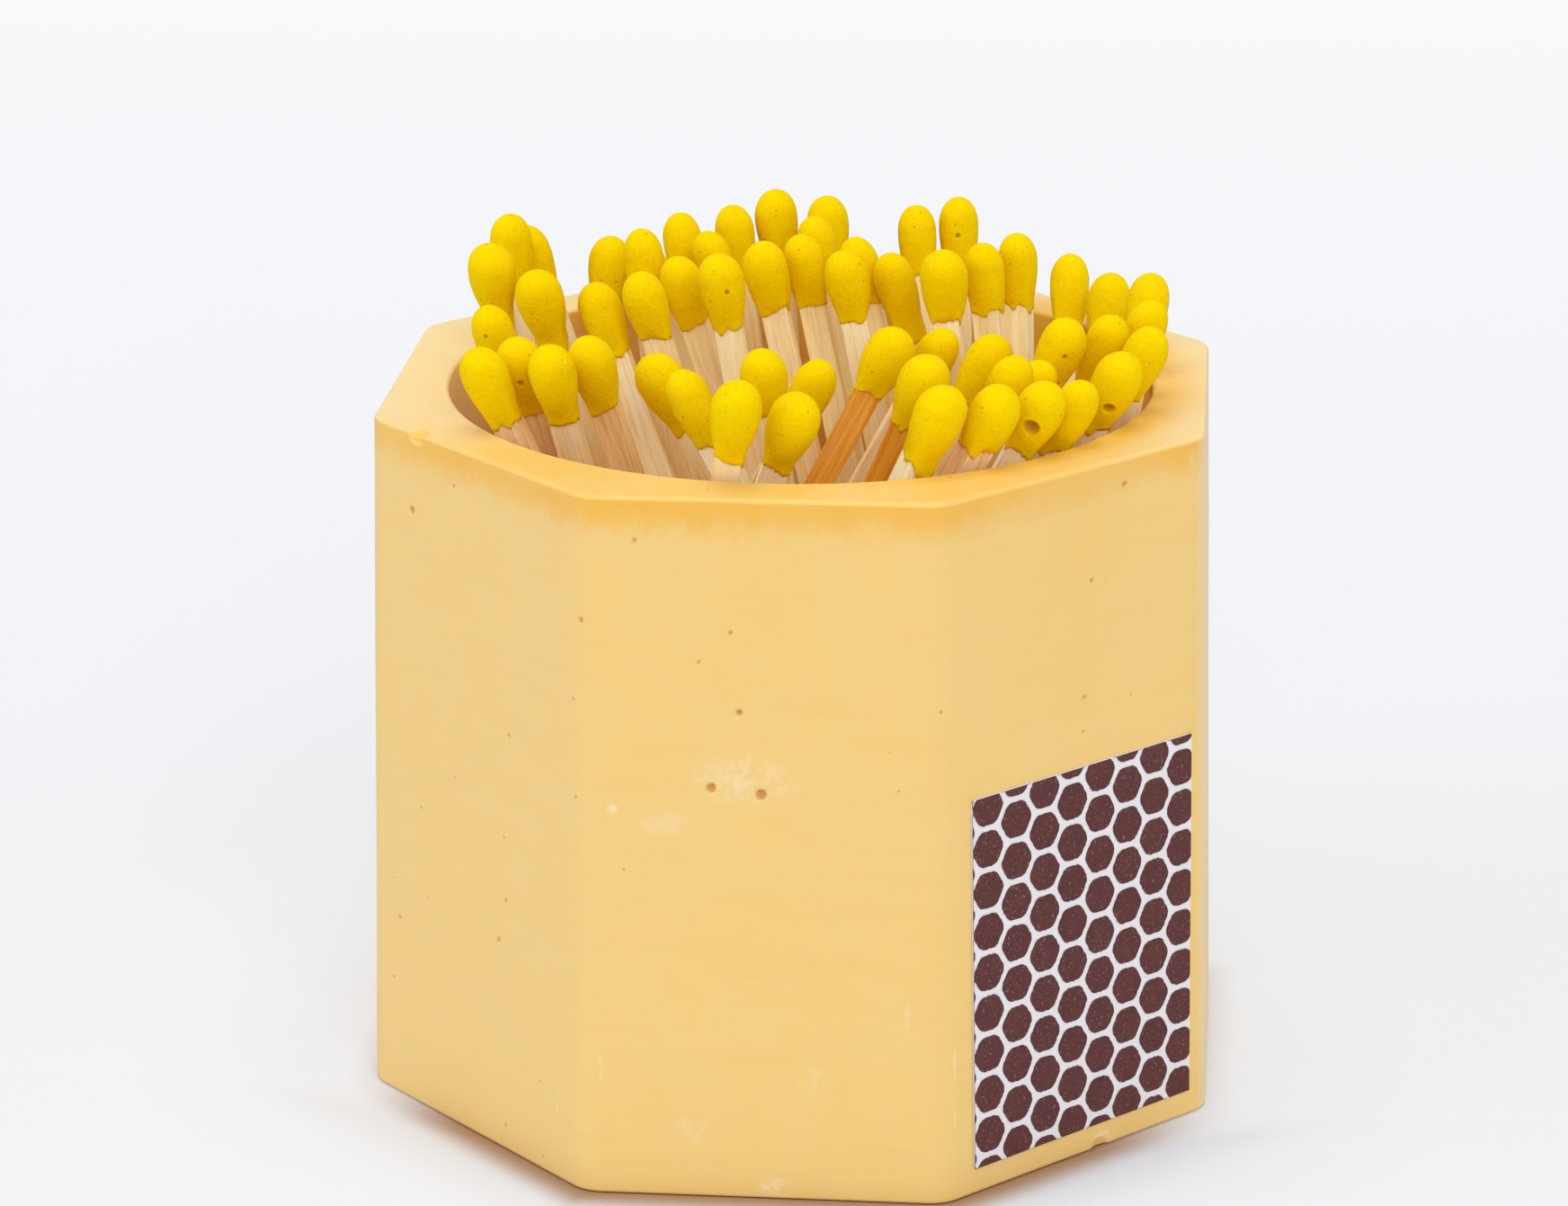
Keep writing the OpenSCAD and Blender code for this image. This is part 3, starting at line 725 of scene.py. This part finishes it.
def match_piece(body, number, aspen, paste):
    """One match: a square splint with torn edges, and a dipped head with a ragged lower edge."""
    rng = random.Random(1000 + number)
    place, length, radius = measure_match(body)
    half = SPLINT_HALF * MM
    crown = HEAD_CROWN * MM
    drift = Vector((rng.uniform(0, 50), rng.uniform(0, 50), rng.uniform(0, 50)))
    mesh = bmesh.new()

    # The splint. Its corners are blunt by 0.04 mm, and have lost a wider sliver here and there.
    levels = 40
    top = length - SPLINT_END * MM
    rings = []
    for k in range(levels + 1):
        z = top * k / levels
        ring = []
        cuts = []
        for corner in range(4):
            torn = noise.noise(Vector((z / (5 * MM), corner * 7.3, 0)) + drift)
            cuts.append((0.04 + 0.5 * max(0.0, torn - 0.28)) * MM)
        for s in range(4):
            turn = Matrix.Rotation(math.radians(90 * s), 3, "Z")
            for t in (-half + cuts[s], -half / 2, 0.0, half / 2, half - cuts[(s + 1) % 4]):
                rough = noise.noise(Vector((t / (0.5 * MM), z / (6 * MM), s * 5.1)) + drift)
                wave = noise.noise(Vector((s * 3.7, z / (14 * MM), 2.2)) + drift)
                inward = (0.02 + 0.02 * rough + 0.025 * (1 + wave)) * MM
                ring.append(turn @ Vector((t, -half + inward, z)))
        rings.append(ring)
    for face in skin(mesh, rings):
        face.material_index = 0

    # The head. Its lower edge wavers, and the paste runs down in a few short tongues.
    around = 64
    dip = rng.uniform(4.9, 5.5) * MM
    lengths = []
    lean = rng.uniform(0, 2 * math.pi)
    tongues = [(rng.uniform(0, 2 * math.pi), rng.uniform(0.15, 0.75), rng.uniform(0.14, 0.5))
               for _ in range(rng.choice((1, 2, 2, 3)))]
    extra = LONG_DIPS.get(number, 0.0)
    for i in range(around):
        a = 2 * math.pi * i / around
        edge = dip + extra * MM + 0.32 * MM * math.cos(a - lean) * rng.uniform(0.98, 1.02)
        for way, fall, width in tongues:
            off = math.atan2(math.sin(a - way), math.cos(a - way)) / width
            edge += fall * MM * math.exp(-off * off)
        edge += 0.2 * MM * noise.noise(Vector((math.cos(a) * 2.3, math.sin(a) * 2.3, 0)) + drift)
        edge += 0.1 * MM * noise.noise(Vector((math.cos(a) * 6.1, math.sin(a) * 6.1, 3)) + drift)
        edge += rng.uniform(-0.07, 0.07) * MM
        lengths.append(edge)
    bulge = rng.uniform(0, 2 * math.pi)
    rows = [0.02, 0.06, 0.13, 0.22, 0.34, 0.5, 0.68, 0.88, 1.1, 1.35, 1.6, 1.85, HEAD_CROWN]
    tail_rows = 16

    # Low down, the paste is a thin film on the square splint, and the round head melds into it. Its
    # last row of points is tucked under the splint's surface.
    squareness, meld = 14, 8
    film_thick, edge_thick, tuck_under = 0.06 * MM, 0.04 * MM, 0.12 * MM
    fade_length = 2.6 * MM
    rings = []
    for k in range(len(rows) + tail_rows + 1):
        ring = []
        for i in range(around):
            a = 2 * math.pi * i / around
            if k < len(rows):
                down = rows[k] * MM
            else:
                down = crown + (lengths[i] - crown) * min(1.0, (k - len(rows) + 1) / tail_rows)
            powers = abs(math.cos(a)) ** squareness + abs(math.sin(a)) ** squareness
            square = 1 / powers ** (1 / squareness) * half
            reach = dip_radius(down, radius, dip + 0.3 * MM)
            film = square + film_thick
            left = lengths[i] - down
            if down > crown:
                reach = (reach ** meld + film ** meld) ** (1 / meld) if reach > 0.8 * film else film
                reach = min(reach, dip_limit(down, radius), film + edge_thick + 0.6 * left)
            spot = Vector((math.cos(a) * reach, math.sin(a) * reach, -down))
            sag = 0.03 * (1 + math.cos(a - bulge)) * min(1.0, reach / radius) ** 2
            lumps = noise.noise(spot / (1.5 * MM) + drift)
            grains = noise.noise(spot / (0.4 * MM) + drift)
            skin_noise = 0.022 * (1 + lumps) + 0.008 * (1 + grains)
            if down > crown:
                fade = max(0.0, 1 - (down - crown) / fade_length)
                reach *= 1 - (sag + skin_noise) * fade - 0.006 * (1 - fade)
            else:
                reach *= 1 - sag - skin_noise
            if k == len(rows) + tail_rows:
                reach = square - tuck_under
            ring.append(Vector((math.cos(a) * reach, math.sin(a) * reach, length - down)))
        rings.append(ring)
    for face in skin(mesh, rings[::-1], capped=(False, True)):
        face.smooth = True
        face.material_index = 1

    # Bubbles that burst as the skin dried.
    burst = mesh.verts.layers.float.new("burst")
    inverse = place.inverted()
    for which, way, down, across in BURST_BUBBLES:
        if which == number:
            toward = Vector((math.cos(math.radians(way)), math.sin(math.radians(way)), 0))
            out = inverse.to_3x3() @ toward
            out = Vector((out.x, out.y, 0)).normalized()
            spot = out * dip_radius(down * MM, radius, dip) * 0.96 + Vector((0, 0, length - down * MM))
            hollow_out(mesh, spot, across * MM, across * BUBBLE_DEPTH * MM, out, cuts=3, layer=burst)

    # Most splints are pale, and some have a little of the browner heartwood.
    tone = rng.random()
    brown = BROWN_SPLINTS.get(number, rng.choice((0.0, 0.0, 0.05, 0.1, 0.18)))
    tone_layer = mesh.verts.layers.float.new("wood_tone")
    brown_layer = mesh.verts.layers.float.new("wood_brown")
    for vert in mesh.verts:
        vert[tone_layer] = tone
        vert[brown_layer] = brown
    return finish_piece(f"dressed_{body}", mesh, [aspen, paste], body, [body], place)


def studio(floor_colour):
    """A pale table under a soft white dome, with large lamps in front, above and at each side."""
    scene = bpy.context.scene
    world = bpy.data.worlds.new("white studio")
    scene.world = world
    world.use_nodes = True
    tree = world.node_tree
    tree.nodes.clear()
    path = add(tree, "ShaderNodeLightPath")
    seen = add(tree, "ShaderNodeMath",
               {0: path.outputs["Is Camera Ray"], 1: path.outputs["Is Glossy Ray"]}, operation="MAXIMUM")
    seen = add(tree, "ShaderNodeMath", {0: seen.outputs[0], 1: path.outputs["Is Transmission Ray"]},
               operation="MAXIMUM")
    dome = add(tree, "ShaderNodeBackground", {"Color": colour("#ffffff"), "Strength": 0.52})
    shown = add(tree, "ShaderNodeBackground", {"Color": colour("#f4f4f6"), "Strength": 1.0})
    both = add(tree, "ShaderNodeMixShader", {0: seen.outputs[0], 1: dome.outputs[0], 2: shown.outputs[0]})
    add(tree, "ShaderNodeOutputWorld", {0: both.outputs[0]})

    # Seen by the camera, nearly half of the table's shade is a painted glow of its own, so that the pot's
    # glow on it stays faint, and further away more of it is. Right before the foot that glow falls away, and
    # the table there is painted a warm brown shade, so that the soft brown line of shade under the foot
    # shows.
    material, tree, surface = start_material("pale table")
    surface.inputs["Roughness"].default_value = 0.9
    surface.inputs["Specular IOR Level"].default_value = 0.1
    at = add(tree, "ShaderNodeTexCoord").outputs["Object"]
    away = 0.0
    for face in range(SIDES):
        outward = face_frame(face).col[2].xyz
        reach = add(tree, "ShaderNodeVectorMath", {0: at, 1: (outward.x, outward.y, 0.0)},
                    operation="DOT_PRODUCT")
        away = add(tree, "ShaderNodeMath", {0: reach.outputs["Value"], 1: away},
                   operation="MAXIMUM").outputs[0]
    close = add(tree, "ShaderNodeMapRange",
                {"Value": away, "From Min": 31.2 * MM, "From Max": 41.0 * MM,
                 "To Min": 0.0, "To Max": 0.44}, interpolation_type="SMOOTHSTEP")
    place = add(tree, "ShaderNodeSeparateXYZ", {0: at})
    behind = add(tree, "ShaderNodeMapRange",
                 {"Value": place.outputs["Y"], "From Min": -23 * MM, "From Max": -13 * MM,
                  "To Min": 0.0, "To Max": 0.46}, interpolation_type="SMOOTHSTEP")
    clear = add(tree, "ShaderNodeMapRange",
                {"Value": away, "From Min": 31.2 * MM, "From Max": 33.5 * MM,
                 "To Min": 0.25, "To Max": 1.0})
    behind = add(tree, "ShaderNodeMath", {0: behind.outputs[0], 1: clear.outputs[0]},
                 operation="MULTIPLY")
    close = add(tree, "ShaderNodeMath", {0: close.outputs[0], 1: behind.outputs[0]}, operation="MAXIMUM")
    distant = add(tree, "ShaderNodeMapRange",
                  {"Value": away, "From Min": 60.0 * MM, "From Max": 420.0 * MM,
                   "To Min": 0.0, "To Max": 0.42})
    # Painted shade: a soft brown shadow laid on the table close before the pot's front faces.
    shaded = add(tree, "ShaderNodeMapRange",
                 {"Value": away, "From Min": 31.0 * MM, "From Max": 35.0 * MM,
                  "To Min": 0.95, "To Max": 0.0}, interpolation_type="SMOOTHERSTEP")
    before = add(tree, "ShaderNodeMapRange",
                 {"Value": place.outputs["Y"], "From Min": -21 * MM, "From Max": -13 * MM,
                  "To Min": 1.0, "To Max": 0.0}, interpolation_type="SMOOTHSTEP")
    shaded = add(tree, "ShaderNodeMath", {0: shaded.outputs[0], 1: before.outputs[0]},
                 operation="MULTIPLY")
    top = add(tree, "ShaderNodeMix",
              {"Factor": shaded.outputs[0], "A": colour(floor_colour), "B": colour("#a47d57")},
              data_type="RGBA")
    tree.links.new(top.outputs["Result"], surface.inputs["Base Color"])
    # A painted glow that only the camera sees on the table.
    painted_glow = add(tree, "ShaderNodeMath", {0: close.outputs[0], 1: distant.outputs[0]}, operation="ADD")
    path = add(tree, "ShaderNodeLightPath")
    seen_glow = add(tree, "ShaderNodeMath", {0: path.outputs["Is Camera Ray"], 1: painted_glow.outputs[0]},
                    operation="MULTIPLY")
    pale = add(tree, "ShaderNodeEmission", {"Color": colour("#fdfdff"), "Strength": 1.0})
    both = add(tree, "ShaderNodeMixShader",
               {0: seen_glow.outputs[0], 1: surface.outputs[0], 2: pale.outputs[0]})
    tree.links.new(both.outputs[0], tree.nodes["Material Output"].inputs[0])
    mesh = bmesh.new()
    bmesh.ops.create_grid(mesh, x_segments=4, y_segments=4, size=3.0)
    data = bpy.data.meshes.new("table")
    mesh.to_mesh(data)
    mesh.free()
    table = bpy.data.objects.new("table", data)
    data.materials.append(material)
    scene.collection.objects.link(table)

    lamp_side = 1.1
    pot_middle = Vector((0, 0, 0.03))
    for name, spot, power, tint in (
        ("lamp_front", (0.4, -1.6, 1.2), 14.5, "#ffffff"),
        ("lamp_above", (0.0, 0.1, 1.8), 12.0, "#ffffff"),
        ("lamp_left", (-1.6, -0.6, 0.8), 12.9, "#cbdeff"),
        ("lamp_right", (1.6, -0.6, 0.8), 5.6, "#cfe2ff"),
    ):
        lamp = bpy.data.lights.new(name, "AREA")
        lamp.color = colour(tint)[:3]
        lamp.shape = "SQUARE"
        lamp.size = lamp_side
        lamp.energy = power
        holder = bpy.data.objects.new(name, lamp)
        holder.location = spot
        aim = pot_middle - Vector(spot)
        holder.rotation_euler = aim.to_track_quat("-Z", "Y").to_euler()
        scene.collection.objects.link(holder)


def photographer():
    """The camera, where the pot's corners and edges put it: millimetres, and degrees."""
    place, turn, down, roll = (31.47, -350.02, 153.77), 5.35, 18.76, -0.19
    camera = bpy.data.cameras.new("camera")
    camera.sensor_fit = "HORIZONTAL"
    camera.sensor_width = 36.0
    camera.lens = 113.35
    camera.clip_start = 0.01
    holder = bpy.data.objects.new("camera", camera)
    holder.matrix_world = (Matrix.Translation(Vector(place) * MM)
                           @ Matrix.Rotation(math.radians(turn), 4, "Z")
                           @ Matrix.Rotation(math.radians(90 - down), 4, "X")
                           @ Matrix.Rotation(math.radians(roll), 4, "Z"))
    bpy.context.scene.collection.objects.link(holder)
    bpy.context.scene.camera = holder


photographer()
bpy.context.scene.view_settings.view_transform = "Standard"
# Between crowded heads and splints the light bounces many times before it is lost.
bpy.context.scene.cycles.diffuse_bounces = 12
studio("#dadadc")

cast_pot(cast_plaster())
paper = frame["nodes"]["striker_backing"]
paper.data.materials.clear()
paper.data.materials.append(label_paper())
printed_cells(striking_composition())
aspen, paste = sawn_aspen(), match_head_paste()
for number in range(1, MATCHES + 1):
    match_piece(f"match_{number:02d}", number, aspen, paste)
